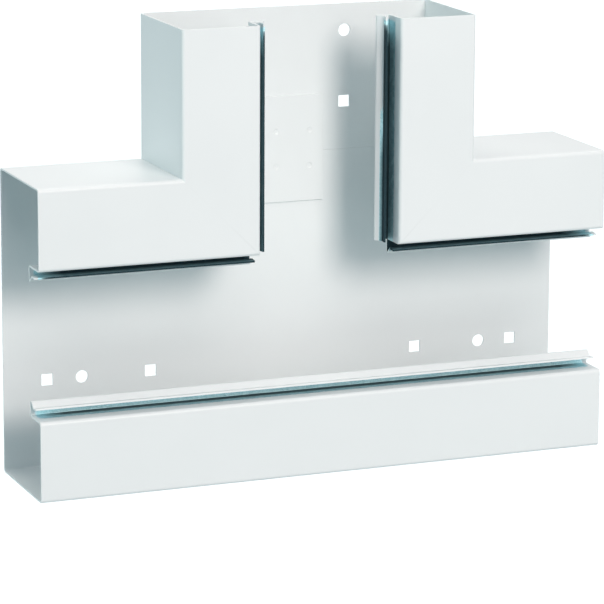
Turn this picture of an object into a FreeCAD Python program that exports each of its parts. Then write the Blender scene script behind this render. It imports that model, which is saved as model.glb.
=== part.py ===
"""Flat tee for 170 x 68 mm steel wall trunking with an 80 mm lid.

A horizontal run of folded sheet meets a short riser of the same section. The
two sections are mitred together at their front faces and walls, their back
plates butt at a seam, and a small spot-welded plate bridges that seam.

Frame: X along the run, Y into the wall, Z up. The origin lies on the wall
side of the back plate, where the centre lines of run and riser cross.
"""
import FreeCAD, Part
import math
import os
import Sketcher

Vector = FreeCAD.Vector
SHEET = "Dimensions"

# Driving dimensions: alias, value in millimetres or degrees, meaning
DIMENSIONS = (
    ("trunking_width", 170.0, "outside width of run and riser"),
    ("trunking_depth", 68.0, "outside depth, wall side to front face"),
    ("arm_length", 80.0, "length of each side arm beyond the riser"),
    ("riser_height", 80.0, "length of the riser above the run"),
    ("wall", 1.0, "sheet thickness of the trunking"),
    ("bend_inner", 1.0, "inside radius of the body folds"),
    ("lid_width", 80.0, "width of the lid that closes the front"),
    ("lid_gap", 0.5, "gap between lid and front face, each side"),
    ("rail_depth", 18.0, "front face to the back of the lid rail"),
    ("rail_height", 7.8, "how far the lid rail stands into the opening"),
    ("rail_inner", 0.5, "inside radius of the lid rail folds"),
    ("lip_gap", 3.9, "room between the rail's flange and its lip"),
    ("lip_slope", 42.0, "slope of the lip's first leg, degrees"),
    ("tip_slope", 8.0, "slope of the lip's last leg, degrees"),
    ("tip_setback", 8.5, "front face to the lip's edge"),
    ("hole_row", 35.0, "centre line to each row of holes"),
    ("round_hole", 7.0, "diameter of the wall screw holes"),
    ("square_hole", 6.5, "side of the square holes"),
    ("run_first_square", 25.0, "end of the run to its first square hole"),
    ("square_to_round", 20.0, "first square hole to the round hole"),
    ("round_to_square", 40.0, "round hole to the next square hole"),
    ("riser_first_round", 15.0, "end of the riser to its round hole"),
    ("plate_width", 36.0, "width of the joint plate"),
    ("plate_height", 60.0, "height of the joint plate"),
    ("plate_sheet", 1.0, "thickness of the joint plate"),
    ("plate_offset", 4.0, "joint plate's centre beside the riser's centre line"),
    ("spot_pitch", 20.0, "spacing of the spot welds, both ways"),
    ("spot_mark", 3.2, "diameter of a spot weld's dent"),
    ("spot_dent", 0.35, "depth of a spot weld's dent"),
    ("spot_taper", 60.0, "slope of the dent's side, degrees"),
    ("cut_margin", 2.0, "how far a cut runs past the sheet it cuts"),
)

# Dimensions that follow from the driving ones: alias, formula
DERIVED = (
    ("half_width", "=trunking_width / 2"),
    ("half_opening", "=lid_width / 2 + lid_gap"),
    ("run_length", "=trunking_width + 2 * arm_length"),
    ("bend_outer", "=bend_inner + wall"),
    ("rail_outer", "=rail_inner + wall"),
    ("seam_height", "=half_width - bend_outer"),
    ("run_square_far", "=run_length / 2 - run_first_square"),
    ("run_round", "=run_square_far - square_to_round"),
    ("run_square_near", "=run_round - round_to_square"),
    ("riser_top", "=half_width + riser_height"),
    ("riser_round", "=riser_top - riser_first_round"),
    ("riser_square", "=riser_round - round_to_square"),
    ("half_square", "=square_hole / 2"),
)


def fill_sheet(doc):
    """Write every dimension into the spreadsheet and name its cell."""
    table = doc.addObject("Spreadsheet::Sheet", SHEET)
    row = 0
    for alias, value, meaning in DIMENSIONS:
        row += 1
        table.set(f"A{row}", alias)
        table.set(f"B{row}", f"{value:g}")
        table.set(f"C{row}", meaning)
        table.setAlias(f"B{row}", alias)
    for alias, formula in DERIVED:
        row += 1
        table.set(f"A{row}", alias)
        table.set(f"B{row}", formula)
        table.setAlias(f"B{row}", alias)
    doc.recompute()
    return table


doc = FreeCAD.newDocument("trunking_tee")
sheet = fill_sheet(doc)
ALIASES = [row[0] for row in DIMENSIONS + DERIVED]


def bound(formula):
    """Return a formula with every dimension's name pointing at its cell."""
    words = formula.replace("(", "( ").replace(")", " )").split()
    return " ".join(f"{SHEET}.{word}" if word in ALIASES else word for word in words)


def size(formula):
    """Return the present value of a formula over the dimensions."""
    return float(sheet.evalExpression(bound(formula)))


def origin_plane(body, role):
    """Return one of a body's own origin planes."""
    return [part for part in body.Origin.OriginFeatures if part.Role == role][0]


def new_sketch(body, name, role, lift="0"):
    """Add a sketch to a body, on an origin plane or lifted off it."""
    sketch = body.newObject("Sketcher::SketchObject", name)
    sketch.AttachmentSupport = [(origin_plane(body, role), "")]
    sketch.MapMode = "FlatFace"
    if lift != "0":
        sketch.setExpression("AttachmentOffset.Base.z", bound(lift))
    return sketch


def drive(sketch, name, formula, kind, *geometry):
    """Add a named dimension to a sketch and bind it to the sheet."""
    value = size(formula)
    if kind == "Angle":
        value = math.radians(value)
    sketch.addConstraint(Sketcher.Constraint(kind, *geometry, value))
    sketch.renameConstraint(sketch.ConstraintCount - 1, name)
    unit = " * 1 deg" if kind == "Angle" else " * 1 mm"
    sketch.setExpression(f"Constraints.{name}", f"( {bound(formula)} ){unit}")


def place_point(sketch, name, geometry, point, across, up):
    """Hold one sketch point at two formulas from the sketch's origin."""
    for axis, kind, formula in (("x", "DistanceX", across), ("y", "DistanceY", up)):
        if abs(size(formula)) < 1e-9:
            line = -2 if axis == "x" else -1
            sketch.addConstraint(Sketcher.Constraint("PointOnObject", geometry, point, line))
        else:
            drive(sketch, f"{name}_{axis}", formula, kind, geometry, point)


def draw_polygon(sketch, name, corners):
    """Draw a closed polygon whose corners are pairs of formulas."""
    spots = [Vector(size(across), size(up), 0) for across, up in corners]
    first = sketch.GeometryCount
    count = len(spots)
    for number in range(count):
        sketch.addGeometry(Part.LineSegment(spots[number], spots[(number + 1) % count]))
    for number in range(count):
        following = first + (number + 1) % count
        sketch.addConstraint(Sketcher.Constraint("Coincident", first + number, 2, following, 1))
    for number, (across, up) in enumerate(corners):
        place_point(sketch, f"{name}{number}", first + number, 1, across, up)


def draw_circle(sketch, name, across, up, diameter):
    """Draw a circle at two formulas, with its diameter bound."""
    centre = Vector(size(across), size(up), 0)
    number = sketch.addGeometry(Part.Circle(centre, Vector(0, 0, 1), size(diameter) / 2))
    place_point(sketch, name, number, 3, across, up)
    drive(sketch, f"{name}_d", diameter, "Diameter", number)


def draw_square(sketch, name, across, up, half):
    """Draw a square about a centre given by two formulas."""
    corners = [(f"{across} {a} {half}", f"{up} {b} {half}") for a, b in ("--", "+-", "++", "-+")]
    draw_polygon(sketch, name, corners)


# The folded section
#
# Half of the section, from the middle of the back plate to the edge of the
# lid rail's lip. Sketch x runs across the trunking and sketch y into the
# wall. Going along the strip, its left side is the wall side of the back
# plate and the outside of walls and faces.

def lip_fold_depth():
    """Return how far the lip's second fold lies in front of its first."""
    slope = math.radians(size("lip_slope"))
    across = size("rail_height - 2 * rail_outer - lip_gap")
    apart = size("rail_inner + rail_outer")
    return (apart + across * math.cos(slope)) / math.sin(slope)


def folds():
    """Return each fold of the half section: centre, turn and inside radius."""
    half = size("half_width")
    depth = size("trunking_depth")
    edge = size("half_opening")
    outer = size("bend_outer")
    inner = size("rail_inner")
    web = size("rail_depth - trunking_depth - wall - rail_inner")
    root = size("half_opening - rail_height + rail_outer")
    dip = size("half_opening - lip_gap - rail_outer")
    body_inner = size("bend_inner")
    return (
        (Vector(half - outer, -outer, 0), -1, body_inner),
        (Vector(half - outer, outer - depth, 0), -1, body_inner),
        (Vector(edge + outer, outer - depth, 0), -1, body_inner),
        (Vector(edge - inner, web, 0), 1, inner),
        (Vector(root, web, 0), 1, inner),
        (Vector(dip, web - lip_fold_depth(), 0), -1, inner),
    )


def legs():
    """Return the direction of each straight leg of the half section."""
    slope = math.radians(size("lip_slope"))
    tip = math.radians(size("tip_slope"))
    return (
        Vector(1, 0, 0),
        Vector(0, -1, 0),
        Vector(-1, 0, 0),
        Vector(0, 1, 0),
        Vector(-1, 0, 0),
        Vector(math.sin(slope), -math.cos(slope), 0),
        Vector(-math.sin(tip), -math.cos(tip), 0),
    )


def left_of(way):
    """Return the unit vector to the left of a direction."""
    return Vector(-way.y, way.x, 0)


def surface_points(side):
    """Return start and end of each leg on one side of the strip, left 1 or right -1."""
    wall = size("wall")
    ways = legs()
    points = [Vector(0, 0 if side > 0 else -wall, 0)]
    for number, (centre, turn, inner) in enumerate(folds()):
        radius = inner if side == turn else inner + wall
        points.append(centre - left_of(ways[number]) * turn * radius)
        points.append(centre - left_of(ways[number + 1]) * turn * radius)
    under = points[-1] + left_of(ways[-1]) * (0 if side > 0 else wall)
    reach = (size("tip_setback - trunking_depth") - under.y) / ways[-1].y
    points.append(points[-1] + ways[-1] * reach)
    return points


def draw_strip_side(sketch, side):
    """Draw the lines and fold arcs of one side and join them tangentially."""
    points = surface_points(side)
    lines = [
        sketch.addGeometry(Part.LineSegment(points[number], points[number + 1]))
        for number in range(0, len(points), 2)
    ]
    arcs = []
    for number, (centre, turn, inner) in enumerate(folds()):
        arrive = points[2 * number + 1] - centre
        leave = points[2 * number + 2] - centre
        first, last = (arrive, leave) if turn > 0 else (leave, arrive)
        begin = math.atan2(first.y, first.x)
        finish = math.atan2(last.y, last.x)
        circle = Part.Circle(centre, Vector(0, 0, 1), arrive.Length)
        arc = sketch.addGeometry(Part.ArcOfCircle(circle, begin, finish))
        near, far = (1, 2) if turn > 0 else (2, 1)
        sketch.addConstraint(Sketcher.Constraint("Tangent", lines[number], 2, arc, near))
        sketch.addConstraint(Sketcher.Constraint("Tangent", arc, far, lines[number + 1], 1))
        if side == turn:
            radius = "bend_inner" if number < 3 else "rail_inner"
            drive(sketch, f"fold{number}", radius, "Radius", arc)
        arcs.append(arc)
    return lines, arcs


def draw_half_section(sketch):
    """Draw half of the folded section with all of its sizes bound."""
    left, left_arcs = draw_strip_side(sketch, 1)
    right, right_arcs = draw_strip_side(sketch, -1)
    for one, other in zip(left_arcs, right_arcs):
        sketch.addConstraint(Sketcher.Constraint("Coincident", one, 3, other, 3))
    for pair in (left, right):
        for number in (0, 2, 4):
            sketch.addConstraint(Sketcher.Constraint("Horizontal", pair[number]))
        for number in (1, 3):
            sketch.addConstraint(Sketcher.Constraint("Vertical", pair[number]))
    for number in (5, 6):
        sketch.addConstraint(Sketcher.Constraint("Parallel", left[number], right[number]))
    middle = sketch.addGeometry(Part.LineSegment(*[surface_points(s)[0] for s in (-1, 1)]))
    edge = sketch.addGeometry(Part.LineSegment(*[surface_points(s)[-1] for s in (1, -1)]))
    for one, spot, other, end in (
        (middle, 1, right[0], 1),
        (middle, 2, left[0], 1),
        (edge, 1, left[6], 2),
        (edge, 2, right[6], 2),
        (left[0], 1, -1, 1),
    ):
        sketch.addConstraint(Sketcher.Constraint("Coincident", one, spot, other, end))
    sketch.addConstraint(Sketcher.Constraint("Vertical", middle))
    sketch.addConstraint(Sketcher.Constraint("Perpendicular", left[6], edge))
    drive(sketch, "sheet", "wall", "DistanceY", middle, 1, middle, 2)
    drive(sketch, "side", "half_width", "DistanceX", left[1], 1)
    drive(sketch, "front", "- trunking_depth", "DistanceY", left[2], 1)
    drive(sketch, "flange", "half_opening", "DistanceX", left[3], 1)
    drive(sketch, "web", "rail_depth - trunking_depth", "DistanceY", right[4], 1)
    drive(sketch, "root", "half_opening - rail_height + rail_outer", "DistanceX", left_arcs[4], 3)
    drive(sketch, "dip", "half_opening - lip_gap - rail_outer", "DistanceX", left_arcs[5], 3)
    drive(sketch, "slope", "lip_slope - 90", "Angle", left[5])
    drive(sketch, "tip", "0 - 90 - tip_slope", "Angle", left[6])
    drive(sketch, "lip_edge", "tip_setback - trunking_depth", "DistanceY", left[6], 2)


def fold_section(body, lift, length, midplane):
    """Pad the half section along the body's z and mirror it to the full section."""
    profile = new_sketch(body, f"{body.Name}_section", "XY_Plane", lift)
    draw_half_section(profile)
    half = body.newObject("PartDesign::Pad", f"{body.Name}_half")
    half.Profile = profile
    half.Midplane = midplane
    half.setExpression("Length", bound(length))
    doc.recompute()
    full = body.newObject("PartDesign::Mirrored", f"{body.Name}_full")
    full.Originals = [half]
    full.MirrorPlane = (origin_plane(body, "YZ_Plane"), [""])
    body.Tip = full
    doc.recompute()


def cut_forward(body, sketch, length):
    """Pocket a sketch from its plane towards the front of the trunking."""
    pocket = body.newObject("PartDesign::Pocket", f"{sketch.Name}_cut")
    pocket.Profile = sketch
    pocket.Reversed = True
    pocket.setExpression("Length", bound(length))
    doc.recompute()
    return pocket


def bind_place(body, across="0", into="0", up="0"):
    """Bind a body's position to formulas."""
    for axis, formula in (("x", across), ("y", into), ("z", up)):
        if formula != "0":
            body.setExpression(f"Placement.Base.{axis}", bound(formula))


# Horizontal run
#
# The body's own x points up and its own z against the tee's X. The middle of
# its top wall and upper front face is cut away for the riser.

run = doc.addObject("PartDesign::Body", "run_trunking")
run.Placement = FreeCAD.Placement(Vector(), FreeCAD.Rotation(Vector(0, 1, 0), -90))
fold_section(run, "0", "run_length", True)

PAST = "half_width + cut_margin"
RAIL_CLEAR = "half_opening - rail_height - cut_margin"

notch = new_sketch(run, "run_mitre", "XZ_Plane", "bend_outer")
draw_polygon(notch, "corner", (
    (PAST, f"- ( {PAST} )"),
    ("half_opening", "- half_opening"),
    (RAIL_CLEAR, "- half_opening"),
    (RAIL_CLEAR, "half_opening"),
    ("half_opening", "half_opening"),
    (PAST, PAST),
))
cut_forward(run, notch, "trunking_depth")

seam = new_sketch(run, "run_seam", "XZ_Plane")
draw_polygon(seam, "corner", (
    (PAST, f"- ( {PAST} )"),
    ("seam_height", "- seam_height"),
    ("seam_height", "seam_height"),
    (PAST, PAST),
))
cut_forward(run, seam, "bend_outer")

run_holes = new_sketch(run, "run_holes", "XZ_Plane")
for row_name, row in (("upper", "hole_row"), ("lower", "- hole_row")):
    for end_name, end in (("left", ""), ("right", "- ")):
        label = f"{row_name}_{end_name}"
        draw_circle(run_holes, f"{label}_round", row, f"{end}run_round", "round_hole")
        draw_square(run_holes, f"{label}_near", row, f"{end}run_square_near", "half_square")
        draw_square(run_holes, f"{label}_far", row, f"{end}run_square_far", "half_square")
cut_forward(run, run_holes, "wall + cut_margin")

# Riser

riser = doc.addObject("PartDesign::Body", "riser_trunking")
fold_section(riser, "half_opening - cut_margin", "riser_top - half_opening + cut_margin", False)

BELOW = "half_opening - 2 * cut_margin"

foot = new_sketch(riser, "riser_mitre", "XZ_Plane", "bend_outer")
draw_polygon(foot, "corner", (
    (f"- ( {PAST} )", PAST),
    ("- half_opening", "half_opening"),
    ("half_opening", "half_opening"),
    (PAST, PAST),
    (PAST, BELOW),
    (f"- ( {PAST} )", BELOW),
))
cut_forward(riser, foot, "trunking_depth")

back_foot = new_sketch(riser, "riser_seam", "XZ_Plane")
draw_polygon(back_foot, "corner", (
    (f"- ( {PAST} )", PAST),
    ("- seam_height", "seam_height"),
    ("seam_height", "seam_height"),
    (PAST, PAST),
    (PAST, BELOW),
    (f"- ( {PAST} )", BELOW),
))
cut_forward(riser, back_foot, "bend_outer")

riser_holes = new_sketch(riser, "riser_holes", "XZ_Plane")
for row_name, row in (("left", "- hole_row"), ("right", "hole_row")):
    draw_circle(riser_holes, f"{row_name}_round", row, "riser_round", "round_hole")
    draw_square(riser_holes, f"{row_name}_square", row, "riser_square", "half_square")
cut_forward(riser, riser_holes, "wall + cut_margin")

# Joint plate

plate = doc.addObject("PartDesign::Body", "joint_plate")
bind_place(plate, "plate_offset", "- wall", "half_width")

blank = new_sketch(plate, "plate_blank", "XZ_Plane")
draw_polygon(blank, "corner", [
    (f"{across} plate_width / 2", f"{up} plate_height / 2")
    for across, up in ("--", "+-", "++", "-+")
])
slab = plate.newObject("PartDesign::Pad", "plate_slab")
slab.Profile = blank
slab.setExpression("Length", bound("plate_sheet"))
doc.recompute()

spots = new_sketch(plate, "plate_spots", "XZ_Plane", "plate_sheet")
for across in "-+":
    for up in "-+":
        name = f"spot{'left' if across == '-' else 'right'}{'low' if up == '-' else 'high'}"
        draw_circle(spots, name, f"{across} spot_pitch / 2", f"{up} spot_pitch / 2", "spot_mark")
dents = plate.newObject("PartDesign::Pocket", "plate_dents")
dents.Profile = spots
dents.setExpression("Length", bound("spot_dent"))
dents.setExpression("TaperAngle", bound("- spot_taper") + " * 1 deg")
doc.recompute()

# Checks and files

BODIES = (run, riser, plate)
for body in BODIES:
    body.Label = body.Name
doc.recompute()

faults = [
    f"{item.Name}: {item.State}"
    for item in doc.Objects
    if {"Invalid", "Error"} & set(item.State)
]
for body in BODIES:
    if body.Shape.isNull() or not body.Shape.isValid() or len(body.Shape.Solids) != 1:
        faults.append(f"{body.Label}: not one valid solid")
if faults:
    raise RuntimeError("; ".join(faults))

os.makedirs("parts", exist_ok=True)
for body in BODIES:
    body.Shape.exportStep(os.path.join("parts", f"{body.Label}.step"))
    box = body.Shape.BoundBox
    print(f"{body.Label}: {body.Shape.Volume:.1f} cubic mm, "
          f"X {box.XMin:.2f} to {box.XMax:.2f}, "
          f"Y {box.YMin:.2f} to {box.YMax:.2f}, "
          f"Z {box.ZMin:.2f} to {box.ZMax:.2f}")
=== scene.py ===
"""Trunking tee fitting: a horizontal run of wall trunking with a riser on its middle.

The run, the riser and the joint plate are modelled as the folded and punched sheet that
they are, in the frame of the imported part: X along the run, Y into the wall and Z up, with
the middle of the run's back at the origin. Sizes are written in millimetres, and the
finished meshes are in metres.
"""
import logging
import math
from collections.abc import Iterable
from dataclasses import dataclass, field
from enum import Enum

import bmesh
import bpy
from bmesh.types import BMEdge, BMesh, BMFace, BMVert
from mathutils import Matrix, Vector


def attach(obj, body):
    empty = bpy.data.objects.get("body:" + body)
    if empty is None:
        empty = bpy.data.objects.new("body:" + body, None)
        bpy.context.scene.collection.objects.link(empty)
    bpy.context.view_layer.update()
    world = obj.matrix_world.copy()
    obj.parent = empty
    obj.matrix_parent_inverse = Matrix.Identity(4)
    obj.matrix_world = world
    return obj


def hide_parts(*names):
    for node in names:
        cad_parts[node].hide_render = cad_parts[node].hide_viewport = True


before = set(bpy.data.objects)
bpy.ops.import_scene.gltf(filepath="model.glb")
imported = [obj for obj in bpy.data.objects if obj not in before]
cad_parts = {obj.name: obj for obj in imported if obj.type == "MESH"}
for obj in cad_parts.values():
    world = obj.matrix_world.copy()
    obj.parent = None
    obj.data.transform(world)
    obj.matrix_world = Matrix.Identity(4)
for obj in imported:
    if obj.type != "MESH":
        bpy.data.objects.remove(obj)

Pair = tuple[float, float]
Triple = tuple[float, float, float]
Material = bpy.types.Material
Socket = bpy.types.NodeSocket

LOG = logging.getLogger("trunking_tee")
METRE = 0.001  # metres in a millimetre
NEAR = 1e-3  # points closer than this, in millimetres, count as one place
DIGITS = 3  # decimals that tell one place from another
ON_PLANE = 1e-5  # points this close to a cutting plane count as on it
CREASE_ANGLE = 50.0  # degrees between two faces from which their edge is shaded sharp
NORMAL_WEIGHT = 80  # how strongly large faces draw the shading, out of 100
CUT_ANGLES = (60.0, 120.0)  # degrees between the faces at the edge of a cut
TO_WALL = Matrix.Rotation(math.radians(90.0), 4, "X")  # turns a flat circle to face along Y
BARE_AND_SHADE = "bare_zinc_and_shade"  # the attribute that says how bare the zinc is, and above 1 how far painted shade darkens it
BRIGHT, SHADED_ZINC = 1.0, 2.0  # its values for bright zinc and for zinc darkened to near black as painted shade, where 0 is coated
WHITE = (1.0, 1.0, 1.0, 1.0)
MIX_FIRST, MIX_SECOND, MIX_RESULT = 6, 7, 2  # a Mix node's sockets for colours
PICTURE = 604  # width and height of the photograph in pixels
SUN_PLACE = 3.0  # metres from the part at which the holder of a sun is put


class Skin(Enum):
    """The side of the sheet that a face lies on, where cut edges count as the inner side."""

    INNER = 0
    OUTER = 1


class Kind(Enum):
    """The shape of a punched hole."""

    ROUND = "round"
    SQUARE = "square"


# Geometry helpers


def ease(start: float, stop: float, value: float) -> float:
    """Return 0 before start and 1 after stop, with a smooth step between them."""
    share = min(1.0, max(0.0, (value - start) / (stop - start)))
    return share * share * (3.0 - 2.0 * share)


def left_of(way: Vector) -> Vector:
    """Return the unit vector to the left of a direction in the section's plane."""
    return Vector((-way.y, way.x))


def middle_of(face: BMFace) -> Vector:
    """Return the middle of a face."""
    return face.calc_center_median()


def once(items: Iterable) -> list:
    """Return the items in their order, each of them once."""
    return list(dict.fromkeys(items))


def cut_across(bm: BMesh, faces: list[BMFace], axis: int, place: float) -> None:
    """Cut some faces along a plane square to one axis.

    Args:
        bm: The mesh that holds the faces.
        faces: The faces to cut; the rest of the mesh stays whole.
        axis: 0, 1 or 2 for the axis that the plane is square to.
        place: Where the plane crosses that axis.
    """
    normal = Vector((0.0, 0.0, 0.0))
    normal[axis] = 1.0
    parts = [*faces, *once(edge for face in faces for edge in face.edges),
             *once(vert for face in faces for vert in face.verts)]
    bmesh.ops.bisect_plane(bm, geom=parts, dist=ON_PLANE, plane_co=normal * place,
                           plane_no=normal)


def round_edges(bm: BMesh, edges: list[BMEdge], offset: float, segments: int) -> None:
    """Round some edges with a circular bevel.

    Args:
        bm: The mesh that holds the edges.
        edges: The edges to round.
        offset: How far the rounding starts from each edge.
        segments: The number of strips across the rounding.
    """
    bmesh.ops.bevel(bm, geom=edges, offset=offset, offset_type="OFFSET", segments=segments,
                    profile=0.5, affect="EDGES", material=-1, clamp_overlap=False)


def fill_around(bm: BMesh, rim: list[BMEdge], spot: Vector, radius: float,
                sides: int) -> list[BMEdge]:
    """Fill a gap in a flat face, but for a round hole.

    Args:
        bm: The mesh that holds the gap.
        rim: The edges around the gap.
        spot: The hole's centre.
        radius: The hole's radius.
        sides: The number of edges around the hole.

    Returns:
        The edges around the hole.
    """
    ring = bmesh.ops.create_circle(bm, segments=sides, radius=radius,
                                   matrix=Matrix.Translation(spot) @ TO_WALL)["verts"]
    loop = once(edge for vert in ring for edge in vert.link_edges)
    bmesh.ops.triangle_fill(bm, edges=rim + loop, use_beauty=True)
    return loop


def show(name: str, data: bpy.types.ID) -> bpy.types.Object:
    """Add an object to the scene and return it."""
    made = bpy.data.objects.new(name, data)
    bpy.context.scene.collection.objects.link(made)
    return made


def finish_piece(bm: BMesh, name: str, node: str, finish: Material) -> None:
    """Turn a mesh in millimetres into a shown piece in metres, riding with the part.

    The piece lies at the origin, shaded smooth with normals weighted by area.

    Args:
        bm: The mesh, which is used up.
        name: The piece's name.
        node: The solid that it stands for.
        finish: Its material.
    """
    bmesh.ops.scale(bm, vec=Vector((METRE, METRE, METRE)), verts=bm.verts[:])
    mesh = bpy.data.meshes.new(name)
    bm.to_mesh(mesh)
    bm.free()
    mesh.materials.append(finish)
    mesh.shade_smooth()
    mesh.set_sharp_from_angle(angle=math.radians(CREASE_ANGLE))
    piece = show(name, mesh)
    weights = piece.modifiers.new("weighted_normals", "WEIGHTED_NORMAL")
    weights.mode = "FACE_AREA"
    weights.weight = NORMAL_WEIGHT
    weights.keep_sharp = True
    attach(piece, "root")
    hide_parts(node)
    LOG.info("%s stands for %s: %d faces", name, node, len(mesh.polygons))


# The folded section


@dataclass(frozen=True)
class Fold:
    """One fold of the strip, seen along the trunking.

    Attributes:
        centre: The fold's centre, across the trunking and into the wall.
        turn: 1 where the strip turns left, -1 where it turns right.
        inner: The fold's inside radius.
        segments: The number of flats that make the fold.
    """

    centre: Vector
    turn: int
    inner: float
    segments: int


@dataclass(frozen=True)
class Section:
    """Half of the trunking's section, from the middle of its back to the lip's edge.

    Going along the strip, its left side is the wall side of the back plate and the
    outside of walls and faces. After the front face the strip makes the lid rail: a
    flange into the trunking, a web towards the opening's middle, and a lip of a slope
    and a front leg. Bareness is 0 for coated and 1 for bright bare zinc; up to 2 it
    adds painted shade, which darkens the zinc to near black deep in the lid groove.

    Attributes:
        half_width, depth: The middle to the wall's outside, and the back to the front.
        wall: The sheet's thickness.
        bend_inner, bend_segments: The body's folds: their inside radius and their flats.
        half_opening: The middle to the rail's flange.
        rail_depth: The front face to the back of the web.
        rail_height: How far the rail stands into the opening.
        rail_inner: The inside radius of the rail's folds.
        rail_segments: Their flats, at the flange, the web and the lip.
        lip_gap: The room between flange and lip.
        lip_slope, tip_slope: The slopes of the lip's two legs, in degrees.
        tip_setback: The front face to the lip's edge.
        paint_stops: Where the flange's coat starts and stops to fade, behind the front face.
        shade_stops: Where painted shade starts and stops to darken the flange's zinc.
        flange_shade: The painted shade that is added to the flange's bareness.
        slope_stops: Where the slope's coat starts and stops to fade, as shares of the slope.
        slope_bare_and_shade, slope_rise: The slope's bareness after its coat, partly painted
        shade, and the painted shade that it still gains.
        tip_bare_and_shade, tip_loss: The bareness of web and lip on the side of the groove,
        mostly painted shade, and what the front leg loses of it up to its edge.
        tip_inner_bare_and_shade, tip_inner_loss: The same for the front leg's other side,
        which is nearly all painted shade.
    """

    half_width: float = 85.0
    depth: float = 68.0
    wall: float = 1.0
    bend_inner: float = 1.0
    bend_segments: int = 8
    half_opening: float = 40.5
    rail_depth: float = 18.0
    rail_height: float = 7.8
    rail_inner: float = 0.5
    rail_segments: tuple[int, int, int] = (6, 9, 5)
    lip_gap: float = 3.9
    lip_slope: float = 42.0
    tip_slope: float = 8.0
    tip_setback: float = 8.5
    paint_stops: Pair = (6.8, 10.2)
    shade_stops: Pair = (12.0, 13.5)
    flange_shade: float = 0.8
    slope_stops: Pair = (0.54, 0.63)
    slope_bare_and_shade: float = 1.4
    slope_rise: float = 0.25
    tip_bare_and_shade: float = 1.85
    tip_loss: float = 0.25
    tip_inner_bare_and_shade: float = 2.0
    tip_inner_loss: float = 0.1

    @property
    def bend_outer(self) -> float:
        """Return the outside radius of the body's folds."""
        return self.bend_inner + self.wall

    @property
    def seam(self) -> float:
        """Return how far the flat of the back plate reaches from the middle."""
        return self.half_width - self.bend_outer

    def legs(self) -> list[Vector]:
        """Return the direction of each straight leg, across and into the wall."""
        slope = math.radians(self.lip_slope)
        tip = math.radians(self.tip_slope)
        return [Vector(way) for way in (
            (1.0, 0.0), (0.0, -1.0), (-1.0, 0.0), (0.0, 1.0), (-1.0, 0.0),
            (math.sin(slope), -math.cos(slope)), (-math.sin(tip), -math.cos(tip)))]

    def folds(self) -> list[Fold]:
        """Return the section's folds in order along the strip."""
        outer = self.bend_outer
        slope = math.radians(self.lip_slope)
        rail_outer = self.rail_inner + self.wall
        web = self.rail_depth - self.depth - self.wall - self.rail_inner
        root = self.half_opening - self.rail_height + rail_outer
        dip = self.half_opening - self.lip_gap - rail_outer
        spread = (self.rail_inner + rail_outer + (dip - root) * math.cos(slope)) / math.sin(slope)
        body = ((self.half_width - outer, -outer),
                (self.half_width - outer, outer - self.depth),
                (self.half_opening + outer, outer - self.depth))
        rail = ((self.half_opening - self.rail_inner, web), (root, web), (dip, web - spread))
        folds = [Fold(Vector(centre), -1, self.bend_inner, self.bend_segments)
                 for centre in body]
        folds += [Fold(Vector(centre), turn, self.rail_inner, segments)
                  for centre, turn, segments in zip(rail, (1, 1, -1), self.rail_segments)]
        return folds

    def corners(self) -> list[tuple[Vector, float, int]]:
        """Return where the left side's legs would meet if no fold were rounded.

        Returns:
            For each fold, the corner, how far the rounding starts from it, and the
            number of flats in it.
        """
        ways = self.legs()
        found = []
        for number, fold in enumerate(self.folds()):
            way, following = ways[number], ways[number + 1]
            radius = fold.inner if fold.turn > 0 else fold.inner + self.wall
            reach = radius * math.tan(way.angle(following) / 2.0)
            touch = fold.centre - left_of(way) * fold.turn * radius
            found.append((touch + way * reach, reach, fold.segments))
        return found

    def lip_edge(self) -> Vector:
        """Return where the left side ends, at the lip's edge."""
        way = self.legs()[-1]
        fold = self.folds()[-1]
        start = fold.centre - left_of(way) * fold.turn * (fold.inner + self.wall)
        return start + way * ((self.tip_setback - self.depth - start.y) / way.y)

    def outline(self, stations: list[float]) -> list[Vector]:
        """Return the left side's points from the middle of the back to the lip's edge.

        Args:
            stations: Extra points on the back plate, as distances from its middle.
        """
        *body, inlet, root, dip = [corner for corner, _, _ in self.corners()]
        points = [Vector((0.0, 0.0))] + [Vector((place, 0.0)) for place in sorted(stations)]
        points += body
        points += [Vector((self.half_opening, stop - self.depth))
                   for stop in sorted({*self.paint_stops, *self.shade_stops})]
        points += [inlet, root]
        points += [root.lerp(dip, stop) for stop in self.slope_stops]
        return points + [dip, self.lip_edge()]

    def bareness_and_shade(self, skin: Skin, across: float, into: float) -> float:
        """Return how bare the zinc is at a point of the section, and its painted shade.

        The powder thins out on the flange and on the lip's slope. It does not reach the
        rest of the lid groove or the lip's front leg. Deep in the groove and on the front
        leg the bare zinc is darkened further as painted shade.

        Args:
            skin: The side of the sheet.
            across: The distance from the trunking's middle, on either side of it.
            into: The place along Y, which is negative.

        Returns:
            0 for coated, 1 for bright zinc and 2 for zinc darkened to near black as painted shade.
        """
        across = abs(across)
        front = into + self.depth
        if skin is Skin.OUTER:
            if front > self.rail_depth + NEAR:
                return 0.0
            if across > self.half_opening - NEAR:
                # painted shade that darkens the flange's zinc further behind the front
                painted_shade = self.flange_shade * ease(*self.shade_stops, front)
                return ease(*self.paint_stops, front) + painted_shade
            # the groove's web and lip: bare zinc, mostly darkened as painted shade
            return self.tip_bare_and_shade - self.tip_loss * self.along_tip(into)
        if front > self.rail_depth or across > self.half_opening - self.wall:
            return 0.0
        if into < self.folds()[-1].centre.y:
            # the front leg's other side: bare zinc, darkened as painted shade
            return self.tip_inner_bare_and_shade - self.tip_inner_loss * self.along_tip(into)
        share = self.along_slope(into)
        # the slope's bare zinc, with painted shade growing towards the fold
        rise = self.slope_rise * ease(self.slope_stops[1], 1.0, share)
        return self.slope_bare_and_shade * ease(*self.slope_stops, share) + rise

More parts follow.
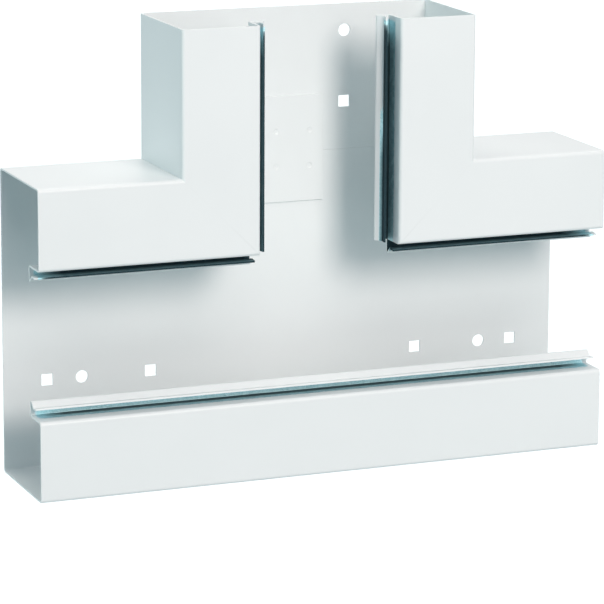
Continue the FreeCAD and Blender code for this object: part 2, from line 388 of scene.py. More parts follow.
    def along_slope(self, into: float) -> float:
        """Return how far a point of the inner skin is along the lip's slope, as a share."""
        *_, root, dip = (corner.y for corner, _, _ in self.corners())
        outside = into + self.wall * math.sin(math.radians(self.lip_slope))
        return (root - outside) / (root - dip)

    def along_tip(self, into: float) -> float:
        """Return how far a point is along the lip's front leg, from 0 to 1 at its edge."""
        start, stop = self.folds()[-1].centre.y, self.tip_setback - self.depth
        return min(1.0, max(0.0, (into - start) / (stop - start)))

    def on_web(self, across: float, into: float) -> float:
        """Return how far a point of the outer skin is out on the web of the lid rail.

        Args:
            across: The distance from the trunking's middle.
            into: The place along Y, which is negative.

        Returns:
            0 by the flange and off the web, and 1 on the rest of the web.
        """
        behind = self.rail_depth - into - self.depth
        if not -NEAR < behind < self.wall + self.rail_inner + NEAR:
            return 0.0
        return ease(0.0, self.rail_inner, self.half_opening - abs(across))


@dataclass(frozen=True)
class Hole:
    """A hole punched in the back plate.

    Attributes:
        kind: Its shape.
        along: Its centre along the trunking.
        across: Its centre across the trunking.
    """

    kind: Kind
    along: float
    across: float


@dataclass
class FoldedTrunking:
    """A length of trunking folded from one sheet, in a frame of its own.

    The mesh's x runs along the trunking, its y into the wall and its z across it.

    Attributes:
        name, node: The piece's name, and the solid that it stands for.
        start, stop: Where it starts and stops along x.
        holes: The holes in its back plate.
        section: Its section.
        square_side, round_width: The side of a square hole, and a round one's diameter.
        round_cell, round_sides: The square that a round hole is made in, and its edges.
        cut_round, seam_round: How far cut edges and the back plates' seam are rounded.
        cut_strips: The number of strips across both.
        end_paint: How far the coat reaches into the lid groove from an open end.
        end_shade: How far from an open end the painted shade on the groove's zinc grows
            to its full darkness.
        lip_shade: The same for the painted shade on the side of the lip that faces the opening.
        early: The shares of the coat's reach and of the painted shade's reach at which the
            skin is cut once more.
    """

    name: str
    node: str
    start: float
    stop: float
    holes: list[Hole]
    section: Section = field(default_factory=Section)
    square_side: float = 6.5
    round_width: float = 7.0
    round_cell: float = 10.0
    round_sides: int = 40
    cut_round: float = 0.12
    seam_round: float = 0.16
    cut_strips: int = 2
    end_paint: float = 5.0
    end_shade: float = 18.0
    lip_shade: float = 8.0
    early: Pair = (0.35, 0.6)

    def half_of(self, hole: Hole) -> float:
        """Return half of the square cell that a hole is made in."""
        return (self.square_side if hole.kind is Kind.SQUARE else self.round_cell) / 2.0

    def draw_strip(self) -> BMesh:
        """Return the outer skin of both halves, folded, as one open surface."""
        reach = {round(abs(hole.across) + side * self.half_of(hole), DIGITS)
                 for hole in self.holes for side in (-1.0, 1.0)}
        outline = self.section.outline(list(reach))
        bm = bmesh.new()
        verts = [bm.verts.new((self.start, point.y, point.x)) for point in outline]
        edges = [bm.edges.new(pair) for pair in zip(verts, verts[1:])]
        sweep = bmesh.ops.extrude_edge_only(bm, edges=edges)["geom"]
        moved = [part for part in sweep if isinstance(part, BMVert)]
        bmesh.ops.translate(bm, verts=moved, vec=Vector((self.stop - self.start, 0.0, 0.0)))
        for corner, offset, segments in self.section.corners():
            spot = Vector((corner.y, corner.x))
            chosen = [edge for edge in bm.edges
                      if all((Vector(vert.co.yz) - spot).length < NEAR for vert in edge.verts)]
            round_edges(bm, chosen, offset, segments)
        whole = bm.verts[:] + bm.edges[:] + bm.faces[:]
        bmesh.ops.mirror(bm, geom=whole, matrix=Matrix(), merge_dist=NEAR, axis="Z")
        return bm

    def open_ends(self) -> list[float]:
        """Return where the trunking ends open."""
        return [self.start, self.stop]

    def cut_ends(self, bm: BMesh) -> None:
        """Cut the skin where the finish and its painted shade change near the open ends."""
        soon, later = self.early
        for end in self.open_ends():
            inward = math.copysign(1.0, (self.start + self.stop) / 2.0 - end)
            for reach in (soon * self.end_paint, self.end_paint, self.lip_shade,
                          later * self.end_shade, self.end_shade):
                cut_across(bm, bm.faces[:], 0, end + inward * reach)

    def cut_notch(self, bm: BMesh) -> None:
        """Take away the skin that the other trunking stands in for."""

    def cut_steps(self, bm: BMesh) -> None:
        """Cut the skin where the finish changes along the trunking."""

    def meets_other(self, vert: BMVert) -> bool:
        """Return whether a point lies on the end that meets the other trunking."""
        return False

    def punch(self, bm: BMesh) -> None:
        """Punch every hole in the back plate's skin."""
        for hole in self.holes:
            half = self.half_of(hole)
            for side in (-half, half):
                cut_across(bm, self.row_of(bm, hole), 0, hole.along + side)
            cell = [face for face in self.row_of(bm, hole)
                    if abs(middle_of(face).x - hole.along) < half]
            rim = [edge for edge in once(edge for face in cell for edge in face.edges)
                   if sum(face in cell for face in edge.link_faces) == 1]
            bmesh.ops.delete(bm, geom=cell, context="FACES")
            if hole.kind is Kind.ROUND:
                spot = Vector((hole.along, 0.0, hole.across))
                fill_around(bm, rim, spot, self.round_width / 2.0, self.round_sides)

    def row_of(self, bm: BMesh, hole: Hole) -> list[BMFace]:
        """Return the back plate's faces in the row of a hole."""
        half = self.half_of(hole)
        return [face for face in bm.faces if middle_of(face).y > -NEAR
                and abs(middle_of(face).z - hole.across) < half]

    def face_outwards(self, bm: BMesh) -> None:
        """Turn the skin's faces away from the trunking's inside."""
        bmesh.ops.recalc_face_normals(bm, faces=bm.faces[:])
        back = [face for face in bm.faces if middle_of(face).y > -NEAR]
        if sum(face.normal.y * face.calc_area() for face in back) < 0.0:
            bmesh.ops.reverse_faces(bm, faces=bm.faces[:])

    def thicken(self, bm: BMesh) -> None:
        """Give the skin the sheet's thickness and note which side each face is on."""
        outer = {middle_of(face).to_tuple(DIGITS) for face in bm.faces}
        bmesh.ops.solidify(bm, geom=bm.faces[:], thickness=self.section.wall)
        mark = bm.faces.layers.int.new("skin")
        for face in bm.faces:
            kept = middle_of(face).to_tuple(DIGITS) in outer
            face[mark] = (Skin.OUTER if kept else Skin.INNER).value

    def meet_mitre(self, bm: BMesh) -> None:
        """Draw the end that meets the other trunking onto the mitre.

        In front of the back plate the end lies on a plane at 45 degrees, and the lid
        rail ends square with the corner of the opening.
        """
        flat = self.section.seam + NEAR
        for vert in bm.verts:
            across = abs(vert.co.z)
            if self.meets_other(vert) and (across > flat or vert.co.y < -self.section.wall - NEAR):
                vert.co.x = math.copysign(max(across, self.section.half_opening), vert.co.x)

    def on_mitre(self, vert: BMVert) -> bool:
        """Return whether a point lies on the welded mitre."""
        across = abs(vert.co.z)
        return across > self.section.half_opening - NEAR and abs(abs(vert.co.x) - across) < NEAR

    def on_seam(self, vert: BMVert) -> bool:
        """Return whether a point lies on the seam between the two back plates."""
        return False

    def soften_cuts(self, bm: BMesh) -> None:
        """Round the edges of cuts as the coat does, and the seam's a little more."""
        least, most = (math.radians(angle) for angle in CUT_ANGLES)
        sharp = [edge for edge in bm.edges if len(edge.link_faces) == 2
                 and least < edge.calc_face_angle(0.0) < most]
        seam = [edge for edge in sharp if all(self.on_seam(vert) for vert in edge.verts)]
        mitre = {edge for edge in sharp if all(self.on_mitre(vert) for vert in edge.verts)}
        free = [edge for edge in sharp if edge not in mitre and edge not in seam]
        round_edges(bm, free, self.cut_round, self.cut_strips)
        seam = [edge for edge in seam if edge.is_valid]
        if seam:
            round_edges(bm, seam, self.seam_round, self.cut_strips)

    def note_bareness_and_shade(self, bm: BMesh) -> None:
        """Write how bare the zinc is, and its painted shade, at every corner of every face."""
        mark = bm.faces.layers.int["skin"]
        bare = bm.loops.layers.float.new(BARE_AND_SHADE)
        ends = self.open_ends()
        for face in bm.faces:
            skin = Skin(face[mark])
            for loop in face.loops:
                spot = loop.vert.co
                near_end = min(abs(spot.x - end) for end in ends)
                value = self.bareness_and_shade(skin, spot)
                bright = min(BRIGHT, value) * ease(0.0, self.end_paint, near_end)
                # painted shade on the bare zinc deepens from an open end over this reach
                reach = self.end_shade if skin is Skin.OUTER else self.lip_shade
                painted_shade = max(0.0, value - BRIGHT) * ease(0.0, reach, near_end)
                loop[bare] = bright + painted_shade
        bm.faces.layers.int.remove(mark)

    def bareness_and_shade(self, skin: Skin, spot: Vector) -> float:
        """Return how bare the zinc is, and its painted shade, away from the open ends."""
        return self.section.bareness_and_shade(skin, spot.z, spot.y)

    def to_frame(self, bm: BMesh) -> None:
        """Move the mesh from the trunking's own frame to the part's."""

    def build(self, finish: Material) -> None:
        """Model the trunking as a piece that wears a finish."""
        bm = self.draw_strip()
        self.cut_notch(bm)
        self.cut_ends(bm)
        self.cut_steps(bm)
        self.punch(bm)
        self.face_outwards(bm)
        self.thicken(bm)
        self.meet_mitre(bm)
        self.soften_cuts(bm)
        self.note_bareness_and_shade(bm)
        self.to_frame(bm)
        finish_piece(bm, self.name, self.node, finish)


class RunTrunking(FoldedTrunking):
    """The horizontal run, with the middle of its top wall and upper face cut away."""

    def cut_notch(self, bm: BMesh) -> None:
        """Cut the top wall, the upper face and the upper rail away between the arms."""
        seam = self.section.seam
        for place in (-seam, seam):
            cut_across(bm, [face for face in bm.faces if middle_of(face).z > 0.0], 0, place)
        gone = []
        for face in bm.faces:
            middle = middle_of(face)
            off_back = middle.z > seam or (middle.y < -NEAR and middle.z > 0.0)
            if abs(middle.x) < seam and off_back:
                gone.append(face)
        bmesh.ops.delete(bm, geom=gone, context="FACES")

    def meets_other(self, vert: BMVert) -> bool:
        """Return whether a point is on the inner end of an upper arm."""
        return vert.co.z > 0.0 and abs(abs(vert.co.x) - self.section.seam) < NEAR

    def bareness_and_shade(self, skin: Skin, spot: Vector) -> float:
        """Return bareness and painted shade; the lower rail has a coated lip and an unshaded web.
        """
        value = super().bareness_and_shade(skin, spot)
        if spot.z > 0.0:
            return value
        if skin is Skin.INNER:
            return 0.0
        web = self.section.on_web(spot.z, spot.y)
        return value + (BRIGHT - value) * web

    def on_seam(self, vert: BMVert) -> bool:
        """Return whether a point lies on the top edge of the back plate."""
        seam = self.section.seam
        return abs(vert.co.z - seam) < NEAR and abs(vert.co.x) < seam + NEAR


@dataclass
class RiserTrunking(FoldedTrunking):
    """The riser, whose foot is mitred into the run's arms.

    Attributes:
        slope_fade: How far from the open end the coat on the lips' slope starts and stops
        to thin out, giving way to bare zinc and painted shade.
        fade_steps: The distances from that end at which the skin is cut for it.
    """

    slope_fade: Pair = (35.0, 80.0)
    fade_steps: tuple[float, ...] = (35.0, 45.0, 57.5, 70.0, 80.0)

    def open_ends(self) -> list[float]:
        """Return the riser's one open end."""
        return [self.stop]

    def cut_steps(self, bm: BMesh) -> None:
        """Cut the lid rails where the coat on their lips thins and painted shade comes in."""
        for reach in self.fade_steps:
            rails = [face for face in bm.faces
                     if abs(middle_of(face).z) < self.section.half_opening + NEAR
                     and middle_of(face).y < -NEAR]
            cut_across(bm, rails, 0, self.stop - reach)

    def meets_other(self, vert: BMVert) -> bool:
        """Return whether a point is on the riser's foot."""
        return abs(vert.co.x - self.start) < NEAR

    def bareness_and_shade(self, skin: Skin, spot: Vector) -> float:
        """Return bareness and painted shade, with lips coated on their slope near the open end."""
        value = super().bareness_and_shade(skin, spot)
        if skin is Skin.INNER and spot.y > self.section.folds()[-1].centre.y:
            # away from the open end the slope's coat gives way to bare zinc and painted shade
            value *= ease(*self.slope_fade, self.stop - spot.x)
        return value

    def on_seam(self, vert: BMVert) -> bool:
        """Return whether a point lies on the lower edge of the back plate."""
        flat = vert.co.y > -self.section.wall - NEAR and abs(vert.co.z) < self.section.seam + NEAR
        return flat and abs(vert.co.x - self.start) < NEAR

    def to_frame(self, bm: BMesh) -> None:
        """Stand the riser up: its own x becomes Z and its own z becomes X."""
        for vert in bm.verts:
            vert.co = Vector((vert.co.z, vert.co.y, vert.co.x))
        bmesh.ops.reverse_faces(bm, faces=bm.faces[:])


@dataclass
class JointPlate:
    """The plate that is spot welded over the seam between the two backs.

    Attributes:
        name, node: The piece's name, and the solid that it stands for.
        width, height, sheet: Its size along X and Z, and its thickness.
        centre: The middle of its wall side, in the part's frame.
        spot_pitch: The distance between spot welds, both ways.
        spot_mark, spot_depth: The diameter and the depth of a dent.
        spot_taper: How far a dent's side leans away from its axis, in degrees.
        spot_cell, spot_sides: The square that a dent is made in, and the edges around it.
        floor_round, rim_round: How far a dent's floor and its rim are rounded.
        edge_round: How far the plate's own edges are rounded.
        round_strips: The number of strips across each rounding.
    """

    name: str = "seam_plate"
    node: str = "joint_plate"
    width: float = 36.0
    height: float = 60.0
    sheet: float = 1.0
    centre: Triple = (4.0, -1.0, 85.0)
    spot_pitch: float = 20.0
    spot_mark: float = 3.2
    spot_depth: float = 0.2
    spot_taper: float = 60.0
    spot_cell: float = 6.0
    spot_sides: int = 24
    floor_round: float = 0.3
    rim_round: float = 0.25
    edge_round: float = 0.28
    round_strips: int = 3

    def front_of(self, bm: BMesh) -> list[BMFace]:
        """Return the faces of the plate's front."""
        return [face for face in bm.faces if abs(middle_of(face).y + self.sheet) < NEAR]

    def press_spot(self, bm: BMesh, across: float, up: float) -> None:
        """Press one spot weld's dent into the plate's front.

        Args:
            bm: The plate.
            across: The dent's centre along X.
            up: The dent's centre along Z.
        """
        half = self.spot_cell / 2.0
        spot = Vector((across, -self.sheet, up))
        for axis in (0, 2):
            for side in (-half, half):
                cut_across(bm, self.front_of(bm), axis, spot[axis] + side)
        cell = [face for face in self.front_of(bm)
                if all(abs(middle_of(face)[axis] - spot[axis]) < half for axis in (0, 2))]
        rim = once(edge for face in cell for edge in face.edges)
        bmesh.ops.delete(bm, geom=cell, context="FACES_ONLY")
        loop = fill_around(bm, rim, spot, self.spot_mark / 2.0, self.spot_sides)
        made = bmesh.ops.extrude_edge_only(bm, edges=loop)["geom"]
        floor = [part for part in made if isinstance(part, BMVert)]
        narrowing = self.spot_depth * math.tan(math.radians(self.spot_taper))
        share = 1.0 - narrowing / (self.spot_mark / 2.0)
        bmesh.ops.scale(bm, vec=Vector((share, 1.0, share)), space=Matrix.Translation(-spot),
                        verts=floor)
        bmesh.ops.translate(bm, vec=Vector((0.0, self.spot_depth, 0.0)), verts=floor)
        edges = [part for part in made if isinstance(part, BMEdge)
                 and all(vert in floor for vert in part.verts)]
        bmesh.ops.edgeloop_fill(bm, edges=edges)
        round_edges(bm, edges, self.floor_round, self.round_strips)
        rims = [edge for edge in loop if edge.is_valid]
        round_edges(bm, rims, self.rim_round, self.round_strips)

    def build(self, finish: Material) -> None:
        """Model the plate as a piece that wears a finish."""
        bm = bmesh.new()
        bmesh.ops.create_cube(bm, size=1.0)
        bmesh.ops.scale(bm, vec=Vector((self.width, self.sheet, self.height)), verts=bm.verts[:])
        bmesh.ops.translate(bm, vec=Vector((0.0, -self.sheet / 2.0, 0.0)), verts=bm.verts[:])
        round_edges(bm, bm.edges[:], self.edge_round, self.round_strips)
        for across in (-0.5, 0.5):
            for up in (-0.5, 0.5):
                self.press_spot(bm, across * self.spot_pitch, up * self.spot_pitch)
        bmesh.ops.recalc_face_normals(bm, faces=bm.faces[:])
        bmesh.ops.translate(bm, vec=Vector(self.centre), verts=bm.verts[:])
        bm.loops.layers.float.new(BARE_AND_SHADE)  # 0 everywhere, for a plate that is coated all over
        finish_piece(bm, self.name, self.node, finish)


# Finishes


@dataclass(frozen=True)
class Noise:
    """A noise that follows the piece.

    Attributes:
        scale: The number of its features in a metre.
        detail: The number of finer layers in it.
        roughness: How strong each of them is next to the one before.
        span: The values that it is stretched between, or None to leave it as it is.
    """

    scale: float
    detail: float = 2.0
    roughness: float = 0.5
    span: Pair | None = None


@dataclass(frozen=True)
class Graph:
    """Wires shader nodes together."""

    tree: bpy.types.NodeTree

    def node(self, kind: str, **values: object) -> bpy.types.Node:
        """Add a node and set its properties."""
        made = self.tree.nodes.new(kind)
        for name, value in values.items():
            setattr(made, name, value)
        return made

    def feed(self, socket: Socket, value: object) -> None:
        """Link a socket into another, or set its value."""
        if isinstance(value, Socket):
            self.tree.links.new(value, socket)
        else:
            socket.default_value = value

    def math(self, operation: str, *values: object) -> Socket:
        """Return the output of a Math node."""
        made = self.node("ShaderNodeMath", operation=operation)
        for number, value in enumerate(values):
            self.feed(made.inputs[number], value)
        return made.outputs[0]

    def ramp(self, value: object, start: float, stop: float, low: float = 0.0,
             high: float = 1.0) -> Socket:
        """Return a value carried smoothly from one range to another, and held at its ends."""
        made = self.node("ShaderNodeMapRange", interpolation_type="SMOOTHSTEP", clamp=True)
        for name, item in (("Value", value), ("From Min", start), ("From Max", stop),
                           ("To Min", low), ("To Max", high)):
            self.feed(made.inputs[name], item)
        return made.outputs[0]

    def mix(self, factor: object, first: object, second: object) -> Socket:
        """Return a mix of two colours."""
        made = self.node("ShaderNodeMix", data_type="RGBA")
        self.feed(made.inputs["Factor"], factor)
        self.feed(made.inputs[MIX_FIRST], first)
        self.feed(made.inputs[MIX_SECOND], second)
        return made.outputs[MIX_RESULT]

    def noise(self, place: Socket, noise: Noise, low: float = 0.0, high: float = 1.0) -> Socket:
        """Return a noise, stretched over its span from one value to another if it has one."""
        made = self.node("ShaderNodeTexNoise")
        for name, item in (("Vector", place), ("Scale", noise.scale), ("Detail", noise.detail),
                           ("Roughness", noise.roughness)):
            self.feed(made.inputs[name], item)
        value = made.outputs["Fac"]
        return self.ramp(value, *noise.span, low, high) if noise.span else value


@dataclass(frozen=True)
class CoatedSheet:
    """Galvanised sheet with a satin powder coat, bare where the pieces say so.

    Deep in the lid grooves the bare zinc is darkened as painted shade. Lengths are in metres.

    Attributes:
        coat, coat_low: The coat's lightest and darkest tones.
        coat_roughness: Its roughness where it is smoothest and where it is roughest.
        coat_sheen, zinc_sheen: The specular level of the coat and of the zinc darkened as painted
            shade.
        clouds, specks: The wide changes of the coat's tone, and its grains.
        speck_share: The part of the tone that the grains decide.
        wide_waves, fine_waves: The waves of the coat's surface.
        fine_share: The height of the fine waves next to the wide ones.
        zinc_light, zinc_dark: The lightest and the darkest grains of bright zinc.
        zinc_shade: The tone of the zinc darkened to near black as painted shade.
        zinc_metal: How metallic bright zinc is.
        zinc_roughness: The roughness of its darkest and of its lightest grains.
        flake_scale, flake_share: The zinc's flakes in a metre, and their part in its tone.
        grains: The grain within the flakes.
        rags, rag_width: The coat's ragged edge, and its reach in bareness.
        rag_stops: Where along that reach the zinc starts to show and shows alone.
        weld_tone, weld_share: The ground weld's tone, and how much of it is mixed in.
        weld_width: How far from its middle the weld starts and stops to fade.
        weld_waves, weld_stray: The weld's waves along the mitre, and how far they stray.
        weld_front: The places along Y between which the weld ends.
        weld_stops, weld_rest: The places along Z between which it fades, and what is left.
        dips, dip_span: The changes of the weld's dips, and the deepest and shallowest dip.
        bump, bump_strength: The height of the surface's waves, and how much they show.
    """

    coat: Triple = (0.805, 0.868, 0.876)
    coat_low: Triple = (0.785, 0.849, 0.858)
    coat_roughness: Pair = (0.32, 0.37)
    coat_sheen: float = 0.4
    clouds: Noise = Noise(14.0, 3.0, span=(0.3, 0.7))
    specks: Noise = Noise(2600.0, 1.0, span=(0.35, 0.75))
    speck_share: float = 0.35
    wide_waves: Noise = Noise(520.0)
    fine_waves: Noise = Noise(1900.0, 1.0)
    fine_share: float = 0.25
    zinc_light: Triple = (0.60, 0.87, 0.92)
    zinc_dark: Triple = (0.30, 0.57, 0.63)
    zinc_shade: Triple = (0.011, 0.031, 0.041)
    zinc_metal: float = 0.6
    zinc_roughness: Pair = (0.42, 0.58)
    zinc_sheen: float = 0.03
    flake_scale: float = 420.0
    flake_share: float = 0.45
    grains: Noise = Noise(1500.0, 4.0, 0.65, (0.3, 0.7))
    rags: Noise = Noise(900.0, 3.0)
    rag_width: float = 0.8
    rag_stops: Pair = (0.72, 1.08)
    weld_tone: Triple = (0.66, 0.72, 0.73)
    weld_share: float = 0.2
    weld_width: Pair = (0.0002, 0.0012)
    weld_waves: Noise = Noise(90.0)
    weld_stray: float = 0.001
    weld_front: Pair = (-0.004, -0.003)
    weld_stops: Pair = (0.045, 0.062)
    weld_rest: float = 0.15
    dips: Noise = Noise(160.0, span=(0.2, 0.8))
    dip_span: Pair = (-1.2, -0.5)
    bump: float = 0.00002
    bump_strength: float = 0.35

    def material(self) -> Material:
        """Return the finish as a material on object coordinates."""
        made = bpy.data.materials.new("coated_sheet")
        made.use_nodes = True
        graph = Graph(made.node_tree)
        inputs = made.node_tree.nodes["Principled BSDF"].inputs
        place = graph.node("ShaderNodeTexCoord").outputs["Object"]
        share = graph.node("ShaderNodeAttribute", attribute_name=BARE_AND_SHADE).outputs["Fac"]
        ragged = graph.math("MULTIPLY_ADD", graph.noise(place, self.rags), self.rag_width, share)
        bare = graph.ramp(ragged, *self.rag_stops)
        weld = self.weld_band(graph, place)
        cloud = graph.noise(place, self.clouds)
        coat = self.coat_colour(graph, place, cloud, weld)
        tone = self.zinc_tone(graph, place)
        zinc = graph.mix(tone, (*self.zinc_dark, 1.0), (*self.zinc_light, 1.0))
        # painted shade: the bare zinc turns to a near-black tone as the bareness goes from 1 to 2
        zinc = graph.mix(graph.ramp(share, BRIGHT, SHADED_ZINC), zinc, (*self.zinc_shade, 1.0))
        graph.feed(inputs["Base Color"], graph.mix(bare, coat, zinc))

        # the painted shade also takes away the zinc's metal and most of its specular
        metal = graph.ramp(share, BRIGHT, SHADED_ZINC, self.zinc_metal, 0.0)
        graph.feed(inputs["Metallic"], graph.math("MULTIPLY", metal, bare))
        graph.feed(inputs["Specular IOR Level"],
                   graph.ramp(share, BRIGHT, SHADED_ZINC, self.coat_sheen, self.zinc_sheen))
        coat_rough = graph.ramp(cloud, 0.0, 1.0, *self.coat_roughness)
        zinc_rough = graph.ramp(tone, 0.0, 1.0, *self.zinc_roughness)
        spread = graph.math("SUBTRACT", zinc_rough, coat_rough)
        graph.feed(inputs["Roughness"], graph.math("MULTIPLY_ADD", spread, bare, coat_rough))
        graph.feed(inputs["Normal"], self.surface(graph, place, weld))
        return made

    def coat_colour(self, graph: Graph, place: Socket, cloud: Socket, weld: Socket) -> Socket:
        """Return the coat's colour, with its clouds, its grains and the ground weld."""
        wide = graph.math("MULTIPLY", cloud, 1.0 - self.speck_share)
        speck = graph.noise(place, self.specks)
        tone = graph.math("MULTIPLY_ADD", speck, self.speck_share, wide)
        coat = graph.mix(tone, (*self.coat_low, 1.0), (*self.coat, 1.0))
        worn = graph.math("MULTIPLY", weld, self.weld_share)
        return graph.mix(worn, coat, (*self.weld_tone, 1.0))

    def zinc_tone(self, graph: Graph, place: Socket) -> Socket:
        """Return how light the zinc's flakes and grains are, from 0 to 1."""
        flakes = graph.node("ShaderNodeTexVoronoi")
        graph.feed(flakes.inputs["Vector"], place)
        graph.feed(flakes.inputs["Scale"], self.flake_scale)
        flake = graph.node("ShaderNodeSeparateColor")
        graph.feed(flake.inputs[0], flakes.outputs["Color"])
        grain = graph.math("MULTIPLY", graph.noise(place, self.grains), 1.0 - self.flake_share)
        return graph.math("MULTIPLY_ADD", flake.outputs[0], self.flake_share, grain)

    def surface(self, graph: Graph, place: Socket, weld: Socket) -> Socket:
        """Return the normal of the coat's surface, with its waves and the weld's dips."""
        fine = graph.math("MULTIPLY", graph.noise(place, self.fine_waves), self.fine_share)
        waves = graph.math("ADD", graph.noise(place, self.wide_waves), fine)
        dip = graph.noise(place, self.dips, *self.dip_span)
        bump = graph.node("ShaderNodeBump")
        graph.feed(bump.inputs["Strength"], self.bump_strength)
        graph.feed(bump.inputs["Distance"], self.bump)
        graph.feed(bump.inputs["Height"], graph.math("MULTIPLY_ADD", weld, dip, waves))
        return bump.outputs["Normal"]

    def weld_band(self, graph: Graph, place: Socket) -> Socket:
        """Return the ground weld along the mitres of the front faces and walls."""
        spot = graph.node("ShaderNodeSeparateXYZ")
        graph.feed(spot.inputs[0], place)
        off = graph.math("SUBTRACT", graph.math("ABSOLUTE", spot.outputs["X"]), spot.outputs["Z"])
        noise = graph.math("SUBTRACT", graph.noise(place, self.weld_waves), 0.5)
        wave = graph.math("MULTIPLY", noise, self.weld_stray)
        line = graph.math("ABSOLUTE", graph.math("ADD", off, wave))
        band = graph.ramp(line, *self.weld_width, 1.0, 0.0)
        front = graph.ramp(spot.outputs["Y"], *self.weld_front, 1.0, 0.0)
        faded = graph.ramp(spot.outputs["Z"], *self.weld_stops, 1.0, self.weld_rest)
        return graph.math("MULTIPLY", graph.math("MULTIPLY", band, front), faded)


# Studio


@dataclass(frozen=True)
class Lamp:
    """A soft lamp.

    Attributes:
        name: What the lamp is for.
        turn: Degrees to the right of the part's front.
        rise: Degrees above the horizon.
        softness: How wide the lamp looks from the part, in degrees.
        power: How strongly it lights the part's origin, the same for both kinds of lamp.
        tone: Its colour.
        distance: How far off a disk hangs, in metres, or 0 for a sun, whose light does not
            fall off.
    """

    name: str
    turn: float
    rise: float
    softness: float
    power: float
    tone: Triple
    distance: float = 0.0

    def hang(self) -> None:
        """Add the lamp to the scene."""
        turn, rise = math.radians(self.turn), math.radians(self.rise)
        towards = Vector((math.sin(turn) * math.cos(rise), -math.cos(turn) * math.cos(rise),
                          math.sin(rise)))
        if self.distance:
            light = bpy.data.lights.new(self.name, "AREA")
            light.shape = "DISK"
            light.size = 2.0 * self.distance * math.tan(math.radians(self.softness / 2.0))
            light.energy = self.power * math.pi * self.distance ** 2
        else:
            light = bpy.data.lights.new(self.name, "SUN")
            light.angle = math.radians(self.softness)
            light.energy = self.power
        light.color = self.tone
        holder = show(self.name, light)
        holder.location = towards * (self.distance or SUN_PLACE)
        holder.rotation_mode = "QUATERNION"
        holder.rotation_quaternion = towards.to_track_quat("Z", "Y")


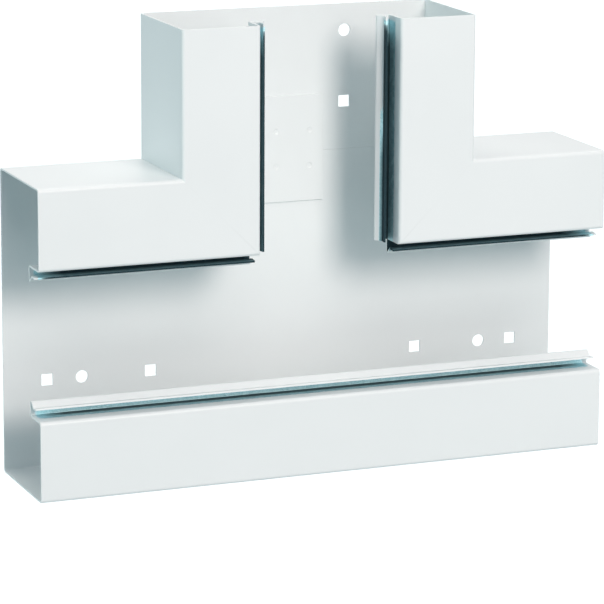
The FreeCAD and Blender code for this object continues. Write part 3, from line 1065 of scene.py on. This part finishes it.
@dataclass(frozen=True)
class Studio:
    """The floor, the light and the camera.

    Attributes:
        floor_drop, floor_side: The floor's place below the origin, and its side, in metres.
        floor_tone, floor_roughness: The floor as it lights the part.
        floor_glow: What the floor gains where it is itself seen.
        fill: The light from all around.
        lamps: The lamps.
        camera_place: Where the camera stands, in metres.
        camera_turn: How far it looks to the right of Y, in degrees.
        camera_tilt: How far it looks up, in degrees.
        camera_roll: How far it leans to its left, in degrees.
        camera_clip: The nearest and the farthest distance that it shows, in metres.
        focal_pixels: Its focal length, in the photograph's pixels.
        centre_pixels: Where its axis meets the photograph, from the top left corner.
        sensor: The width of its sensor, in millimetres.
    """

    floor_drop: float = 0.40
    floor_side: float = 30.0
    floor_tone: Triple = (0.38, 0.47, 0.49)
    floor_roughness: float = 0.9
    floor_glow: float = 0.8
    fill: Triple = (0.02, 0.085, 0.13)
    lamps: tuple[Lamp, ...] = (
        Lamp("key", 6.0, 24.0, 22.0, 1.94, (1.0, 0.858, 0.806), 2.5),
        Lamp("low", 2.0, 6.0, 14.0, 0.22, (1.0, 0.90, 0.86)),
        Lamp("top", 0.0, 58.0, 36.0, 0.72, (1.0, 0.90, 0.86)),
        Lamp("back", 180.0, 60.0, 60.0, 1.62, (1.0, 0.92, 0.86)),
        Lamp("side", -90.0, 8.0, 12.0, 0.78, (0.90, 1.0, 0.96)),
    )
    camera_place: Triple = (-0.681137, -1.722263, 0.421415)
    camera_turn: float = 22.403
    camera_tilt: float = -11.879
    camera_roll: float = 0.388
    camera_clip: Pair = (0.05, 60.0)
    focal_pixels: float = 3377.771
    centre_pixels: Pair = (332.0, 242.0)
    sensor: float = 36.0

    def seen(self, graph: Graph) -> Socket:
        """Return 1 for rays from the camera, mirrors and clear bodies."""
        path = graph.node("ShaderNodeLightPath").outputs
        seen = graph.math("MAXIMUM", path["Is Camera Ray"], path["Is Glossy Ray"])
        return graph.math("MAXIMUM", seen, path["Is Transmission Ray"])

    def lay_floor(self) -> None:
        """Lay a plain pale floor well below the part."""
        bm = bmesh.new()
        bmesh.ops.create_grid(bm, x_segments=1, y_segments=1, size=self.floor_side / 2.0,
                              matrix=Matrix.Translation((0.0, 0.0, -self.floor_drop)))
        mesh = bpy.data.meshes.new("floor")
        bm.to_mesh(mesh)
        bm.free()
        made = bpy.data.materials.new("pale_floor")
        made.use_nodes = True
        graph = Graph(made.node_tree)
        shader = made.node_tree.nodes["Principled BSDF"]
        shader.inputs["Base Color"].default_value = (*self.floor_tone, 1.0)
        shader.inputs["Roughness"].default_value = self.floor_roughness
        shader.inputs["Emission Color"].default_value = WHITE
        graph.feed(shader.inputs["Emission Strength"],
                   graph.math("MULTIPLY", self.seen(graph), self.floor_glow))
        mesh.materials.append(made)
        floor = show("floor", mesh)

    def fill_world(self) -> None:
        """Surround the part with soft fill light, seen as plain white."""
        world = bpy.data.worlds.new("studio")
        bpy.context.scene.world = world
        world.use_nodes = True
        graph = Graph(world.node_tree)
        shade = world.node_tree.nodes["Background"]
        graph.feed(shade.inputs["Color"], graph.mix(self.seen(graph), (*self.fill, 1.0), WHITE))

    def set_camera(self) -> None:
        """Set the camera at the photograph's viewing angle."""
        turn, tilt = math.radians(self.camera_turn), math.radians(self.camera_tilt)
        roll = math.radians(self.camera_roll)
        way = Vector((math.sin(turn) * math.cos(tilt), math.cos(turn) * math.cos(tilt),
                      math.sin(tilt)))
        level = Vector((math.cos(turn), -math.sin(turn), 0.0))
        rise = level.cross(way)
        across = level * math.cos(roll) + rise * math.sin(roll)
        above = rise * math.cos(roll) - level * math.sin(roll)
        lens = bpy.data.cameras.new("camera")
        lens.sensor_width = self.sensor
        lens.lens = self.focal_pixels / PICTURE * self.sensor
        lens.shift_x = (PICTURE / 2.0 - self.centre_pixels[0]) / PICTURE
        lens.shift_y = (self.centre_pixels[1] - PICTURE / 2.0) / PICTURE
        lens.clip_start, lens.clip_end = self.camera_clip
        camera = show("camera", lens)
        camera.rotation_mode = "QUATERNION"
        camera.rotation_quaternion = Matrix((across, above, -way)).transposed().to_quaternion()
        camera.location = self.camera_place
        bpy.context.scene.camera = camera

    def build(self) -> None:
        """Set up the whole studio."""
        bpy.context.scene.view_settings.view_transform = "Standard"
        self.lay_floor()
        self.fill_world()
        for lamp in self.lamps:
            lamp.hang()
        self.set_camera()


RUN_END = 165.0
RISER_FOOT = 83.0
RISER_TOP = 165.0
HOLE_ROWS = (-35.0, 35.0)
RUN_ROW = ((Kind.SQUARE, 140.0), (Kind.ROUND, 120.0), (Kind.SQUARE, 80.0))
RISER_ROW = ((Kind.ROUND, 150.0), (Kind.SQUARE, 110.0))
RISER_SHADE = (15.0, 16.2)  # painted shade darkens the riser's flange further behind the front


def build_part(finish: Material) -> None:
    """Build the run, the riser and the joint plate, which wear one finish."""
    run_holes = [Hole(kind, end * along, row) for row in HOLE_ROWS for end in (-1.0, 1.0)
                 for kind, along in RUN_ROW]
    riser_holes = [Hole(kind, along, row) for row in HOLE_ROWS for kind, along in RISER_ROW]
    RunTrunking("run_shell", "run_trunking", -RUN_END, RUN_END, run_holes).build(finish)
    RiserTrunking("riser_shell", "riser_trunking", RISER_FOOT, RISER_TOP, riser_holes,
                  Section(shade_stops=RISER_SHADE)).build(finish)
    JointPlate().build(finish)


def main() -> None:
    """Build the pieces, dress them and set the studio."""
    logging.basicConfig(level=logging.INFO, format="%(message)s")
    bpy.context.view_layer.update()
    build_part(CoatedSheet().material())
    Studio().build()


if __name__ == "__main__":
    main()
